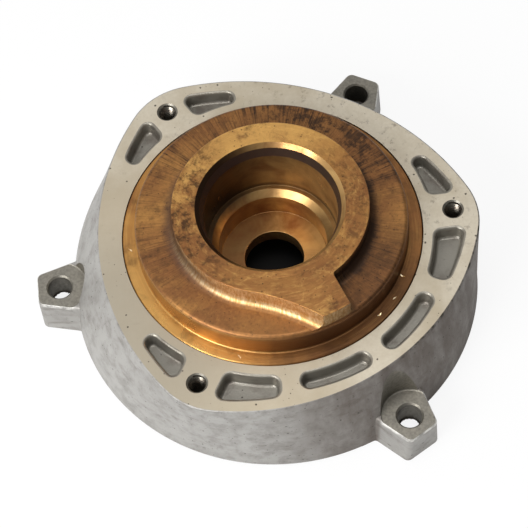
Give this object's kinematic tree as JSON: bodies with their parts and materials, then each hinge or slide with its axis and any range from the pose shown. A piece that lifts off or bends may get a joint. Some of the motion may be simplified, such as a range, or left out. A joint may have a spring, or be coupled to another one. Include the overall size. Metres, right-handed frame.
{
  "type": "pump housing cover",
  "caption": "Round aluminium pump cover with lugs, tapped flange face and a bronze side-channel insert with a stepped hub bore.",
  "frame": {"origin": "centre of the bounding box's base, on the plane of the rear rim", "axes": "+Z along the pump's axis, out of the machined flange face; +X towards the tapped hole opposite a lug; the pump's axis stands at X = 7.35 mm, Y = 0"},
  "size_m": [0.188, 0.1822, 0.0633],
  "materials": {
    "cast_aluminium": "as cast, with the flange face and the screw seats machined",
    "bronze": "machined, with dull tool marks"
  },
  "bodies": {
    "root": {"housing_casting": "cast_aluminium", "channel_insert": "bronze"}
  },
  "joints": []
}
